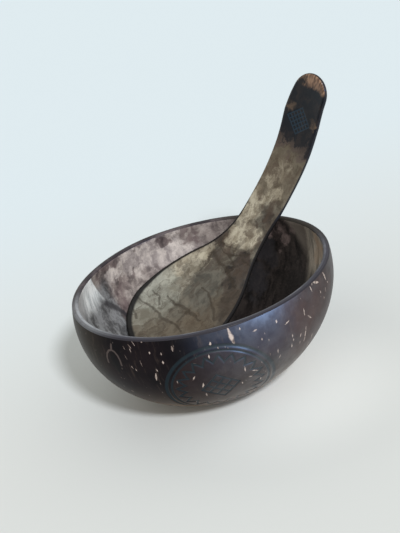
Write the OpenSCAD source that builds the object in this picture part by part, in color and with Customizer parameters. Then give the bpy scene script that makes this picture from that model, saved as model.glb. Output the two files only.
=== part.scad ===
/*
Coconut shell bowl with a loose spoon.
The bowl is one cut shell that stands on a small sanded flat. The spoon is one bent piece
of shell. It lies in the bowl, scoop end low against the wall, handle over the far rim.
Lengths are in millimetres. The origin is the centre of the flat, and +Z points up.
*/

/* [Bowl] */
// Height of the bowl from its flat to its rim
bowl_height = 59; // [54:0.5:60]
// Half of the whole shell's largest width
shell_radius = 63.5; // [60:0.5:70]
// Half of the whole shell's length along its own axis
shell_half_height = 52.4; // [51.4:0.2:60]
// How much the radius of the shell's shoulder falls short of that half length
shoulder_shortfall = 8.4; // [6.4:0.2:12]
// Lean of the shell's own axis, in degrees
shell_lean = 9.5; // [0:0.5:14]
// Depth of the flat that is sanded off the shell's bottom
flat_depth = 1.4; // [0.6:0.1:2]
// Thickness of the wall
wall_thickness = 3.1; // [2.4:0.1:4]
// Thickness of the bottom before the flat is sanded
bottom_thickness = 3.6; // [3:0.1:5]
// Width of the bevels on the rim's two edges
rim_bevel = 0.8; // [0.2:0.1:1.2]

/* [Spoon] */
// Length of the spoon along its bend
spoon_length = 173; // [165:1:180]
// Thickness of the spoon
spoon_thickness = 2.8; // [2:0.1:3]
// Radius of the scoop's round end, which is half of its width
scoop_radius = 25.8; // [22:0.2:26]
// Radius of the scoop's sides on their way to the neck
scoop_side_radius = 77; // [60:1:90]
// Radius of the hollow curves that run from the scoop into the handle
neck_side_radius = 60; // [45:1:75]
// Half of the handle's width at the neck
neck_half_width = 10.4; // [8:0.2:10.6]
// Radius of the handle's round end, which is half of its width
handle_end_radius = 11.4; // [9:0.2:11.6]
// Radius of the spoon's hollow, measured across it
cross_radius = 63; // [55:1:90]
// Radius of the spoon's bend along its length
bend_radius = 129; // [120:1:145]
// Length from the scoop's end to the place where the handle starts to widen
taper_length = 112; // [108:1:120]

/* [Place of the spoon] */
// Angle round the rim, from the +X side, to the spot that the handle leans on
rest_angle = 39.3; // [37:0.1:41]
// Gap between the back of the handle and the rim
rim_clearance = 0.36; // [0.3:0.02:0.6]
// Gap between the scoop's edge and the wall
scoop_clearance = 1; // [0.4:0.1:2]
// Length from the scoop's end to the point that the spoon is turned about
turning_length = 68; // [67:0.5:69]
// Turn of the spoon about the X axis, in degrees
turn_x_angle = 31.2; // [30:0.1:32]
// Turn of the spoon about the Y axis, in degrees
turn_y_angle = -36; // [-37:0.1:-35]
// Turn of the spoon about the Z axis, in degrees
turn_z_angle = 14.5; // [13:0.1:16]

/* [Hidden] */
$fa = 3;
$fs = 0.5;

shell_colour = [0.2, 0.14, 0.12];
spoon_colour = [0.55, 0.48, 0.38];

// How far cutting shapes run past what they cut
overrun = 6;
// How deep curves cross where they would else just touch, as a share of their radius
crossing_share = 0.002;
// Where the scoop's outline is square to the bend, as a share of the run of the sides
scoop_cut_share = 0.33;
// How far down the neck's curve the rim may lie, as a share of the run of the sides
shortest_rest_share = 0.2;
// Search for the spoon's place: steps round the scoop's end, and times that it is halved
search_angle = 10;
search_halvings = 20;

half_turn = 180;
quarter_turn = 90;
degrees_per_radian = half_turn / PI;

// Height of the centre of a shell's bottom arc above the shell's own middle
function bottom_rise(radius, half_height, shoulder_radius) =
    (pow(radius - shoulder_radius, 2) - pow(half_height - shoulder_radius, 2))
    / (2 * (half_height - shoulder_radius));

// The flat lies straight below the centre of the bottom arc
shoulder_radius = shell_half_height - shoulder_shortfall;
bottom_arc_rise = bottom_rise(shell_radius, shell_half_height, shoulder_radius)
    + crossing_share * shoulder_radius;
bottom_arc_radius = shell_half_height
    + bottom_rise(shell_radius, shell_half_height, shoulder_radius);
shell_middle_height = bottom_arc_radius - bottom_arc_rise * cos(shell_lean) - flat_depth;
shell_middle_x = bottom_arc_rise * sin(shell_lean);
middle_below_rim = bowl_height - shell_middle_height;

// Level sections of the leaning shell drift sideways with height, and so does the rim
flattening = 1 / pow(shell_half_height, 2) - 1 / pow(shell_radius, 2);
across_term = 1 / pow(shell_radius, 2) + pow(sin(shell_lean), 2) * flattening;
section_drift = sin(shell_lean) * cos(shell_lean) * flattening / across_term;
rim_centre_x = shell_middle_x + section_drift * middle_below_rim;
shell_reach = norm([shell_half_height * cos(shell_lean), shell_radius * sin(shell_lean)]);
rim_size_share = sqrt(1 - pow(middle_below_rim / shell_reach, 2));
rim_radius = rim_size_share * (shell_radius + 1 / sqrt(across_term)) / 2;
rim_inner_radius = rim_radius - wall_thickness;

// Outline of the scoop and the neck, measured from the scoop's end
crossing = crossing_share * scoop_radius;
side_sum = scoop_side_radius + neck_side_radius;
side_drop = scoop_radius - neck_half_width;
side_run = sqrt(pow(side_sum, 2) - pow(side_sum - side_drop, 2));
neck_start = scoop_radius + side_run;
neck_curve_y = neck_half_width + neck_side_radius - crossing;
side_end_half_width = neck_half_width + side_drop * neck_side_radius / side_sum;

// Turns along the bend, in degrees from the point that the spoon is turned about
degrees_per_length = degrees_per_radian / bend_radius;
start_angle = -(turning_length + overrun) * degrees_per_length;
end_angle = (spoon_length - turning_length + overrun) * degrees_per_length;

// The scoop's outline and the handle's are each cut square to their own middle
scoop_cut_length = scoop_radius + scoop_cut_share * side_run;
scoop_cut_angle = (scoop_cut_length - turning_length) * degrees_per_length;
scoop_end_x = -bend_radius * sin(scoop_cut_length * degrees_per_length);
handle_cut_length = (spoon_length + taper_length) / 2;
handle_cut_angle = (handle_cut_length - turning_length) * degrees_per_length;
handle_end_x = bend_radius * sin((spoon_length - handle_cut_length) * degrees_per_length);
taper_start_x = taper_length - handle_cut_length;
handle_overlap = neck_half_width;

// The spoon's own directions after its three turns
x_turn = [
    [1, 0, 0],
    [0, cos(turn_x_angle), -sin(turn_x_angle)],
    [0, sin(turn_x_angle), cos(turn_x_angle)]
];
y_turn = [
    [cos(turn_y_angle), 0, sin(turn_y_angle)],
    [0, 1, 0],
    [-sin(turn_y_angle), 0, cos(turn_y_angle)]
];
z_turn = [
    [cos(turn_z_angle), -sin(turn_z_angle), 0],
    [sin(turn_z_angle), cos(turn_z_angle), 0],
    [0, 0, 1]
];
all_turns = z_turn * y_turn * x_turn;

// Turned point on the edge of the spoon's back, at a length and a distance from the middle
function back_point(length, across) =
    let (reach = bend_radius - cross_radius
        + sqrt(pow(cross_radius + spoon_thickness, 2) - pow(across, 2)))
    let (angle = scoop_cut_angle + asin((length + scoop_end_x) / reach))
    all_turns * [reach * sin(angle), across, bend_radius - reach * cos(angle)];

// Half of the spoon's width where the neck turns into the handle
function neck_edge(length) =
    length > neck_start
    ? neck_half_width
    : neck_curve_y - sqrt(pow(neck_side_radius, 2) - pow(neck_start - length, 2));

// Gap from a point in the hollow to the wall's inner face
function wall_gap(point) =
    let (from_middle = point - [shell_middle_x, 0, shell_middle_height])
    let (axis = [-sin(shell_lean), 0, cos(shell_lean)])
    let (along = from_middle * axis)
    let (away = norm(from_middle - along * axis))
    let (inner_half_height = shell_half_height - bottom_thickness)
    let (inner_shoulder = shoulder_radius - wall_thickness)
    let (shoulder_x = shell_radius - shoulder_radius)
    let (rise = bottom_rise(shell_radius - wall_thickness, inner_half_height, inner_shoulder))
    (along - rise) * shoulder_x < -away * rise
    ? inner_half_height + rise - norm([away, along - rise])
    : inner_shoulder - norm([away - shoulder_x, along]);

// Place that rests a length of the handle's edge on the rim
function leaning_place(length) =
    let (rim_spot = [
        rim_centre_x + rim_inner_radius * cos(rest_angle),
        rim_inner_radius * sin(rest_angle),
        bowl_height - rim_bevel
    ])
    let (edge_point = back_point(length, -neck_edge(length)))
    let (next_length = length + rim_bevel)
    let (edge_way = back_point(next_length, -neck_edge(next_length)) - edge_point)
    let (rim_way = [-sin(rest_angle), cos(rest_angle), 0])
    let (square_way = cross(edge_way, rim_way))
    rim_spot + rim_clearance * square_way / norm(square_way) - edge_point;

// Least gap between the scoop's round edge and the wall
function scoop_gap(place) =
    min([
        for (angle = [-quarter_turn : search_angle : quarter_turn])
            wall_gap(place + back_point(scoop_radius * (1 - cos(angle)), scoop_radius * sin(angle)))
    ]);

// Longest part of the spoon that fits inside the rim, found by halving
function resting_length(low, high, halvings) =
    let (middle = (low + high) / 2)
    halvings == 0
    ? low
    : scoop_gap(leaning_place(middle)) > scoop_clearance
    ? resting_length(middle, high, halvings - 1)
    : resting_length(low, middle, halvings - 1);

shortest_rest = neck_start - side_run * shortest_rest_share;
spoon_place = leaning_place(resting_length(shortest_rest, taper_length, search_halvings));

band_depth = cross_radius / 2;
band_half_width = scoop_radius + spoon_thickness;
cut_reach = 2 * band_depth;

// Half section of a whole shell without its top: a flat arc below a tighter shoulder arc
module shell_section(radius, half_height, shoulder_radius) {
    shoulder_x = radius - shoulder_radius;
    rise = bottom_rise(radius, half_height, shoulder_radius);
    bottom_radius = half_height + rise;
    join_share = bottom_radius / (bottom_radius - shoulder_radius);
    join_x = shoulder_x * join_share;
    join_y = rise * (join_share - 1);
    intersection() {
        translate([0, rise + crossing_share * shoulder_radius])
            circle(r = bottom_radius);
        union() {
            translate([0, -half_height])
                square([join_x, half_height + join_y]);
            intersection() {
                translate([shoulder_x, 0])
                    circle(r = shoulder_radius);
                translate([join_x, -half_height])
                    square([radius, 2 * half_height]);
            }
        }
    }
}

// Leaning shell, without its top
module leaning_shell(radius, half_height, shoulder_radius) {
    translate([shell_middle_x, 0, shell_middle_height])
        rotate([0, -shell_lean, 0])
            rotate_extrude()
                shell_section(radius, half_height, shoulder_radius);
}

// Bowl: half a shell, hollowed, with a flat underneath and a bevelled rim
module bowl_shell() {
    top_radius = rim_radius - rim_bevel;
    mouth_radius = rim_inner_radius + rim_bevel;
    mouth_depth = 2 * rim_bevel;
    color(shell_colour)
        difference() {
            intersection() {
                leaning_shell(shell_radius, shell_half_height, shoulder_radius);
                translate([rim_centre_x, 0, 0])
                    cylinder(h = bowl_height, r1 = top_radius + bowl_height, r2 = top_radius);
            }
            leaning_shell(
                shell_radius - wall_thickness,
                shell_half_height - bottom_thickness,
                shoulder_radius - wall_thickness
            );
            translate([rim_centre_x, 0, bowl_height - mouth_depth])
                cylinder(
                    h = mouth_depth + overrun,
                    r1 = mouth_radius - mouth_depth,
                    r2 = mouth_radius + overrun
                );
        }
}

// Section across the spoon before its outline is cut: an arched band
module band_section() {
    intersection() {
        translate([bend_radius - cross_radius, 0])
            difference() {
                circle(r = cross_radius + spoon_thickness);
                circle(r = cross_radius);
            }
        translate([bend_radius - band_depth, -band_half_width])
            square([band_depth + 2 * spoon_thickness, 2 * band_half_width]);
    }
}

// Band bent along its length, with the middle of its hollow face through the origin
module bent_band() {
    translate([0, 0, bend_radius])
        rotate([0, 90, 0])
            rotate([90, 0, 0])
                rotate([0, 0, start_angle])
                    rotate_extrude(angle = end_angle - start_angle)
                        band_section();
}

// Sides of the scoop: the part that two large circles share
module scoop_sides() {
    side_offset = scoop_side_radius - scoop_radius;
    intersection() {
        translate([scoop_radius, side_offset])
            circle(r = scoop_side_radius);
        translate([scoop_radius, -side_offset])
            circle(r = scoop_side_radius);
        translate([scoop_radius, -scoop_radius])
            square([side_run, 2 * scoop_radius]);
    }
}

// Outline of the scoop, the neck and the start of the handle
module lower_outline() {
    translate([scoop_radius, 0])
        circle(r = scoop_radius);
    difference() {
        union() {
            scoop_sides();
            translate([2 * scoop_radius, -side_end_half_width])
                square([neck_start - 2 * scoop_radius, 2 * side_end_half_width]);
        }
        translate([neck_start, neck_curve_y])
            circle(r = neck_side_radius + crossing);
        translate([neck_start, -neck_curve_y])
            circle(r = neck_side_radius + crossing);
    }
    translate([2 * scoop_radius, -neck_half_width])
        square([taper_length - 2 * scoop_radius, 2 * neck_half_width]);
}

// Outline of the handle, which widens towards its round end
module upper_outline() {
    end_centre_x = handle_end_x - handle_end_radius;
    taper = (handle_end_radius - neck_half_width) / (end_centre_x - taper_start_x);
    start_x = taper_start_x - handle_overlap;
    start_half_width = neck_half_width - taper * handle_overlap;
    polygon([
        [start_x, -start_half_width],
        [end_centre_x, -handle_end_radius],
        [end_centre_x, handle_end_radius],
        [start_x, start_half_width]
    ]);
    translate([end_centre_x, 0])
        circle(r = handle_end_radius);
}

// Block with an outline, square to the bend at an angle
module outline_block(cut_angle) {
    translate([bend_radius * sin(cut_angle), 0, bend_radius * (1 - cos(cut_angle))])
        rotate([0, -cut_angle, 0])
            translate([0, 0, -cut_reach])
                linear_extrude(height = 2 * cut_reach)
                    children();
}

// Spoon: one bent and arched piece from the scoop to the end of the handle
module spoon() {
    color(spoon_colour)
        translate(spoon_place)
            rotate([turn_x_angle, turn_y_angle, turn_z_angle])
                intersection() {
                    bent_band();
                    union() {
                        outline_block(scoop_cut_angle)
                            translate([scoop_end_x, 0])
                                lower_outline();
                        outline_block(handle_cut_angle)
                            upper_outline();
                    }
                }
}

bowl_shell();
spoon();
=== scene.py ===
import math

import bpy
import numpy as np
from mathutils import Matrix, Vector


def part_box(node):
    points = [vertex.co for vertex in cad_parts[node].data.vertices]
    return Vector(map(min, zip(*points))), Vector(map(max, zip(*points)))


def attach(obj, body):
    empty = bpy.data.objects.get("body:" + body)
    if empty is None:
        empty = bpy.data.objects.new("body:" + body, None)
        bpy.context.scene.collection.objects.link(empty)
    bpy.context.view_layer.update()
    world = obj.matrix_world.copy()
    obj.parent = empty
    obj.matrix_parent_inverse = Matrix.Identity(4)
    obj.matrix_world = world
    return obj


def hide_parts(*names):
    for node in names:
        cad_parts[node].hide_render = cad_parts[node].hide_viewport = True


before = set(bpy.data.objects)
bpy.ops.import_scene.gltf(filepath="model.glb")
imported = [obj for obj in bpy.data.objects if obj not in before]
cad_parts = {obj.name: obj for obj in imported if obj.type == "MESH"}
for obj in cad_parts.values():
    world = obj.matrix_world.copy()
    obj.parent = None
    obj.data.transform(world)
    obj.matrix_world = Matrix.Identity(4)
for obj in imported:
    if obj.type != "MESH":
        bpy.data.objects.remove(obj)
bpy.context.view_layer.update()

# The bowl: half of one coconut shell, cut level, scraped clean inside, sanded and lacquered.
# Its cut edge is rounded, a small flat is sanded under it, and a ring with a plain zigzag
# pattern is engraved in its front.
MILLIMETRE = 0.001
bowl_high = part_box("bowl_shell")[1]
rim_height = bowl_high.z
shell_radius = bowl_high.y
shell_half_height = 52.4 * MILLIMETRE
shell_lean = math.radians(9.5)
shell_middle = np.array([3.06, 0, 51.17]) * MILLIMETRE
wall_thickness = 3.1 * MILLIMETRE
bottom_thickness = 3.6 * MILLIMETRE
rim_rounding = 1.0 * MILLIMETRE
rim_squareness = 2.5
rim_ripple = 0.09 * MILLIMETRE
skin_clearance = 0.1 * MILLIMETRE


def level_sections(radius, half_height, around, rise):
    """Points of a leaning ellipsoid, on level sections.

    A section at height h = H sin(rise) is an ellipse with half axes shrunk by cos(rise). Its
    middle moves sideways in step with h, and with h squared so that the foot is under z = 0.
    """
    flattening = 1 / half_height**2 - 1 / radius**2
    across_term = 1 / radius**2 + math.sin(shell_lean) ** 2 * flattening
    tilt_term = math.sin(shell_lean) * math.cos(shell_lean) * flattening
    drift = tilt_term / across_term
    upright_term = 1 / radius**2 + math.cos(shell_lean) ** 2 * flattening
    reach = 1 / math.sqrt(upright_term - tilt_term**2 / across_term)
    height = reach * np.sin(rise)
    foot = -shell_middle[2]
    bend = -(shell_middle[0] + drift * foot) / foot**2
    section_x = shell_middle[0] + drift * height + bend * height**2
    x = section_x + np.cos(rise) * np.cos(around) / math.sqrt(across_term)
    y = np.cos(rise) * np.sin(around) * radius
    return np.stack(np.broadcast_arrays(x, y, shell_middle[2] + height), axis=-1), reach


slow_wave = 0.16 * MILLIMETRE
quick_wave = 0.09 * MILLIMETRE
even_foot = 20 * MILLIMETRE
fuller_side = 0.55 * MILLIMETRE
fuller_turn = math.radians(5)
fuller_spread = math.radians(42)
fuller_rise = 25 * MILLIMETRE


def unevenness(around, height):
    """Natural waviness of the shell, outwards: slow waves round it and a fuller right side."""
    waves = slow_wave * np.sin(2 * around + 0.6) * np.cos(height / 0.028)
    waves = waves + quick_wave * np.sin(5 * around + 2 + height / 0.02)
    waves = waves * np.clip(height / even_foot, 0, 1)
    fuller = fuller_side * np.exp(-(((around - fuller_turn) / fuller_spread) ** 2))
    return waves + fuller * np.clip((height - even_foot) / fuller_rise, 0, 1)


ring_middle = np.array([0, -56.9, 27.8]) * MILLIMETRE
ring_turn = math.radians(-96.7)
ring_tilt = math.radians(-3.5)
ring_out = np.array([math.cos(ring_turn), math.sin(ring_turn), math.tan(ring_tilt)])
ring_out = ring_out * math.cos(ring_tilt)
ring_right = np.array([-math.sin(ring_turn), math.cos(ring_turn), 0])
ring_up = np.cross(ring_out, ring_right)
# Lines: radius, half width, and distance from the line as a share of that along the radius
ring_lines = [(24.2, 0.85, 1.0), (21.8, 0.55, 1.0)]
zigzag_radii = (15.6, 19.6)
zigzag_teeth = 20
zigzag_half_width = 0.5
zigzag_slant = 0.55
# Lattice: size of a cell, number of cells across, half width of a line
lattice_shape = (4.0, 3, 0.5)
groove_fullness = 1.4  # depth at which the sloping sides of a cut would meet
engraving_depth = 0.35 * MILLIMETRE


def fold(value, length):
    """Zigzag that rises from 0 to length and falls back, again and again."""
    return length - np.abs(np.mod(value, 2 * length) - length)


def groove(distance, half_width):
    """Depth of a cut line, 0 to 1, at a distance from its middle."""
    return np.clip(groove_fullness - distance / half_width, 0, 1)


def lattice_cut(right, up, cell, cells, half_width):
    """Depth, 0 to 1, of slanting lines that cross in a square patch, so many cells wide."""
    half = cell / 2
    first = (right + up) * math.sqrt(0.5)
    second = (right - up) * math.sqrt(0.5)
    to_line = np.minimum(fold(first + half, half), fold(second + half, half))
    inside = np.maximum(np.abs(first), np.abs(second)) < half * cells + half_width
    return groove(to_line, half_width) * inside


def engraving(points):
    """How deep the pattern is cut at each point, 0 to 1, seen along the ring's axis."""
    from_middle = (points - ring_middle) / MILLIMETRE
    right = from_middle @ ring_right
    up = from_middle @ ring_up
    radius = np.hypot(right, up)
    turn = np.arctan2(up, right) / math.tau * zigzag_teeth
    tooth = zigzag_radii[0] + (zigzag_radii[1] - zigzag_radii[0]) * 2 * fold(turn, 0.5)
    cuts = [lattice_cut(right, up, *lattice_shape)]
    for line_radius, half_width, slant in (*ring_lines, (tooth, zigzag_half_width, zigzag_slant)):
        cuts.append(groove(np.abs(radius - line_radius) * slant, half_width))
    return np.maximum.reduce(cuts)


def closed_skin(name, rings, first_end, last_end):
    """Mesh over rings of points, one after another, with a point that closes each end."""
    count, around = rings.shape[:2]
    points = np.concatenate([rings.reshape(-1, 3), [first_end, last_end]])
    numbers = np.arange(count * around).reshape(count, around)
    beside = np.roll(numbers, -1, axis=1)
    quads = np.stack([numbers[:-1], beside[:-1], beside[1:], numbers[1:]], axis=-1)
    first_fan = np.stack([np.full(around, count * around), beside[0], numbers[0]], axis=-1)
    last_fan = np.stack([numbers[-1], beside[-1], np.full(around, count * around + 1)], axis=-1)
    mesh = bpy.data.meshes.new(name)
    faces = quads.reshape(-1, 4).tolist() + first_fan.tolist() + last_fan.tolist()
    mesh.from_pydata(points.tolist(), [], faces)
    mesh.shade_smooth()
    made = bpy.data.objects.new(name, mesh)
    bpy.context.collection.objects.link(made)
    return made


engraved_turn = math.radians(27.5)
engraved_columns = 185
plain_columns = 135
first_turn = math.radians(-92) - engraved_turn
around = np.concatenate(
    [
        first_turn + np.linspace(0, 2 * engraved_turn, engraved_columns, endpoint=False),
        first_turn + np.linspace(2 * engraved_turn, math.tau, plain_columns, endpoint=False),
    ]
)
wall_rows = 245
cap_rows = 13
inside_rows = 42
inside_start = 0.03
cap_height = rim_height - rim_rounding


def wall_surface(radius, half_height, rise_shares):
    """Rows of a wall from its foot to the rounding of the rim, pushed out by the unevenness."""
    reach = level_sections(radius, half_height, around, 0.0)[1]
    top = math.asin((cap_height - shell_middle[2]) / reach)
    foot = math.asin(max(-shell_middle[2] / reach, -1))
    rise = (foot + (top - foot) * rise_shares)[:, None]
    surface = level_sections(radius, half_height, around[None, :], rise)[0]
    outward = surface - shell_middle
    outward[..., 2] *= (radius / half_height) ** 2
    outward /= np.linalg.norm(outward, axis=-1, keepdims=True)
    push = unevenness(around[None, :], surface[..., 2])
    return surface + outward * push[..., None], outward


outer_shares = np.linspace(0, 1, wall_rows)
outer_wall, outer_normals = wall_surface(shell_radius, shell_half_height, outer_shares)
inner_radius = shell_radius - wall_thickness
inner_half_height = shell_half_height - bottom_thickness
inner_shares = np.linspace(1, inside_start, inside_rows)
inner_wall = wall_surface(inner_radius, inner_half_height, inner_shares)[0]
front_side = (outer_normals @ ring_out > 0)[..., None]
cut_depth = engraving_depth * engraving(outer_wall)[..., None] * front_side
outer_wall = outer_wall - outer_normals * cut_depth
cap_shares = ((1 - np.cos(np.linspace(0, math.pi, cap_rows + 2)[1:-1])) / 2)[:, None, None]
cap = outer_wall[-1] + (inner_wall[0] - outer_wall[-1]) * cap_shares
from_middle = np.abs(2 * cap_shares[..., 0] - 1) ** rim_squareness
roundness = 1 - (1 - from_middle) ** (1 / rim_squareness)
ripple = rim_ripple * (np.sin(3 * around + 1) + np.sin(7 * around)) * (1 - roundness)
cap[..., 2] = rim_height - roundness * rim_rounding + ripple - skin_clearance
foot_centre = outer_wall[0].mean(axis=0)
foot_shares = np.array([0.5, 0.9, 0.97])[:, None, None]
foot_rows = foot_centre + (outer_wall[0] - foot_centre) * foot_shares
bowl = closed_skin(
    "bowl",
    np.concatenate([foot_rows, outer_wall, cap, inner_wall]),
    foot_centre,
    inner_wall[-1].mean(axis=0) - [0, 0, skin_clearance / 2],
)
outside_faces = (len(foot_rows) + wall_rows - 1) * len(around)
edge_faces = (cap_rows + 1) * len(around)
inside_faces = (inside_rows - 1) * len(around)
face_counts = [outside_faces, edge_faces, inside_faces, len(around), len(around)]
surface_kinds = np.repeat([0, 1, 2, 0, 2], face_counts)


def paint(red, green, blue):
    """Linear colour from screen values of 0 to 255."""
    shares = np.array([red, green, blue]) / 255
    linear = np.where(shares > 0.04045, ((shares + 0.055) / 1.055) ** 2.4, shares / 12.92)
    return (*linear.tolist(), 1)


def feed(tree, socket, value):
    """Links an output to a socket, or writes a number into it."""
    if isinstance(value, bpy.types.NodeSocket):
        tree.links.new(value, socket)
    elif value is not None:
        socket.default_value = value


def add_node(tree, kind, *values, **settings):
    """Adds a node to a tree and fills its inputs in order."""
    made = tree.nodes.new("ShaderNode" + kind)
    for setting, value in settings.items():
        setattr(made, setting, value)
    for socket, value in zip(made.inputs, values):
        feed(tree, socket, value)
    return made


def linked_node(kind, *values, **settings):
    """Adds a node to the tree that the first output among its values is in."""
    linked = next(value for value in values if isinstance(value, bpy.types.NodeSocket))
    return add_node(linked.id_data, kind, *values, **settings)


def maths(operation, *values):
    """One number worked out from others by a Math node."""
    return linked_node("Math", *values, operation=operation).outputs[0]


def times(*values):
    """Product of two or more values."""
    product = values[0]
    for value in values[1:]:
        product = maths("MULTIPLY", product, value)
    return product


def sloped(value, slope, start):
    """Slope times value plus start, each a number or an output."""
    return maths("MULTIPLY_ADD", value, slope, start)


def vectors(operation, *values):
    """Vector, or number where the operation gives one, worked out by a Vector Math node."""
    made = linked_node("VectorMath", *values, operation=operation)
    single = operation in ("DOT_PRODUCT", "LENGTH", "DISTANCE")
    return made.outputs["Value" if single else "Vector"]


def scaled(vector, factor):
    """Vector times a number."""
    return vectors("SCALE", vector, None, None, factor)


def soft_step(value, low, high):
    """0 below low and 1 above high, or the other way round, with an eased change between."""
    return linked_node("MapRange", value, low, high, interpolation_type="SMOOTHSTEP").outputs[0]


def mixed(factor, first, second):
    """Mix of two colours, each an output or three screen values."""
    made = linked_node("Mix", factor, data_type="RGBA")
    for socket, value in zip(made.inputs[6:8], (first, second)):
        feed(factor.id_data, socket, paint(*value) if isinstance(value, tuple) else value)
    return made.outputs[2]


def toned(value, low, high, first, second):
    """First colour where the value is at low, second where it is at high, eased between."""
    return mixed(soft_step(value, low, high), first, second)


def laid(under, mask, share, over):
    """One colour with another laid over it at a share of a mask."""
    return mixed(times(mask, share), under, over)


def noise(vector, scale, detail=4, roughness=0.5):
    """Cloudy value from 0 to 1, about 0.5 in the mean."""
    return linked_node("TexNoise", vector, None, scale, detail, roughness).outputs[0]


def strongest(masks):
    """The greatest of several masks."""
    kept = masks[0]
    for mask in masks[1:]:
        kept = maths("MAXIMUM", kept, mask)
    return kept


def new_group(name, inputs, output, build):
    """Shader node group with named inputs, whose one output is what build makes of them.

    Inputs and output are names with a kind of socket, Vector or Float.
    """
    group = bpy.data.node_groups.new(name, "ShaderNodeTree")
    for way, sockets in (("INPUT", inputs), ("OUTPUT", output)):
        for socket_name, kind in sockets.items():
            group.interface.new_socket(socket_name, in_out=way, socket_type="NodeSocket" + kind)
    given = group.nodes.new("NodeGroupInput").outputs
    result = build(*[given[socket_name] for socket_name in inputs])
    group.links.new(result, group.nodes.new("NodeGroupOutput").inputs[0])
    return group


def place_group(group, *values):
    """Puts a group beside its values and fills its inputs in order; returns its output."""
    return linked_node("Group", *values, node_tree=group).outputs[0]


def dash_mask(place, start, end, width, ends):
    """1 along the line from start to end and 0 further off than the width.

    Towards both ends the width falls to a share of itself.
    """
    way = vectors("SUBTRACT", end, start)
    off = vectors("SUBTRACT", place, start)
    share = maths("DIVIDE", vectors("DOT_PRODUCT", off, way), vectors("DOT_PRODUCT", way, way))
    share = linked_node("Clamp", share, 0.0, 1.0).outputs[0]
    distance = vectors("DISTANCE", off, scaled(way, share))
    reach = sloped(maths("PINGPONG", share, 0.5), sloped(ends, -2.0, 2.0), ends)
    return soft_step(maths("DIVIDE", distance, times(reach, width)), 1.0, 0.3)


dash = new_group(
    "dash",
    {"Place": "Vector", "Start": "Vector", "End": "Vector", "Width": "Float", "Ends": "Float"},
    {"Mask": "Float"},
    dash_mask,
)
# The colour of a cut starts this far out and is full this far out, in half widths
groove_fringe = 1.2
groove_core = 0.6


def lattice_mask(right, up, cell, cells, half_width, core):
    """1 on the lines of lattice_cut, full within a core share of their half width."""
    half = times(cell, 0.5)
    ways = [times(sloped(up, sign, right), math.sqrt(0.5)) for sign in (1, -1)]
    off_line = maths(
        "MINIMUM", *[maths("PINGPONG", maths("ADD", way, half), half) for way in ways]
    )
    reach = maths("MAXIMUM", *[maths("ABSOLUTE", way) for way in ways])
    lines = soft_step(off_line, times(half_width, groove_fringe), times(half_width, core))
    return times(lines, maths("LESS_THAN", reach, sloped(half, cells, half_width)))


lattice_names = ("Right", "Up", "Cell", "Cells", "Half Width", "Core")
lattice = new_group(
    "lattice", dict.fromkeys(lattice_names, "Float"), {"Mask": "Float"}, lattice_mask
)


def drawn_place(place, share):
    """Place on an upright wall round the shell, its height shrunk so that grain runs down."""
    level_way = vectors("NORMALIZE", vectors("MULTIPLY", place, (1, 1, 0)))
    height = vectors("MULTIPLY", place, (0, 0, 1))
    return vectors("ADD", scaled(level_way, shell_radius), scaled(height, share))


drawn = new_group(
    "drawn_down", {"Place": "Vector", "Share": "Float"}, {"Place": "Vector"}, drawn_place
)


def drift_way(place, scale, detail, roughness):
    """Cloudy sideways move, each part of it between -0.5 and 0.5, that bends a straight place."""
    colour = linked_node("TexNoise", place, None, scale, detail, roughness).outputs["Color"]
    return vectors("SUBTRACT", colour, (0.5, 0.5, 0.5))


drift = new_group(
    "drift",
    {"Place": "Vector", "Scale": "Float", "Detail": "Float", "Roughness": "Float"},
    {"Way": "Vector"},
    drift_way,
)


def new_material(name):
    """Material with nodes: returns it, its tree, and the place in the frame as an output."""
    made = bpy.data.materials.new(name)
    made.use_nodes = True
    return made, made.node_tree, add_node(made.node_tree, "TexCoord").outputs["Object"]


def fill_shader(tree, values, relief=None, strength=0.0, depth=0.0):
    """Fills the shader's inputs by name, and lays a relief of a strength and depth over it."""
    shader = tree.nodes["Principled BSDF"]
    for name, value in values.items():
        feed(tree, shader.inputs[name], value)
    if relief is not None:
        bump = add_node(tree, "Bump", strength, depth, None, relief)
        tree.links.new(bump.outputs[0], shader.inputs["Normal"])


outside, tree, place = new_material("polished_shell_outside")
x, y, z = add_node(tree, "SeparateXYZ", place).outputs
clouds = noise(place, 42.0, 5, 0.6)
streaks = noise(place_group(drawn, place, 0.22), 620.0, 4, 0.6)
body = toned(clouds, 0.35, 0.7, (12, 9, 13), (27, 20, 23))
red_body = toned(clouds, 0.3, 0.7, (46, 36, 37), (78, 60, 57))
body = laid(body, soft_step(x, -0.01, 0.055), 0.85, red_body)
# Painted sheen: a blue tint laid into the body's colour at the right of the front, high on the
# wall
painted_sheen_share = times(
    soft_step(x, -0.016, 0.004),
    soft_step(x, 0.044, 0.028),
    soft_step(sloped(clouds, 0.02, z), 0.034, 0.062),
)
body = laid(body, painted_sheen_share, 0.45, (30, 42, 68))
for mask, share, colour in (
    (soft_step(z, 0.034, 0.008), 0.6, (92, 74, 56)),
    (soft_step(z, 0.019, 0.008), 0.6, (142, 114, 86)),
    (soft_step(x, -0.042, -0.06), 0.4, (66, 56, 38)),
    (soft_step(streaks, 0.54, 0.74), 0.22, (92, 78, 70)),
):
    body = laid(body, mask, share, colour)
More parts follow.
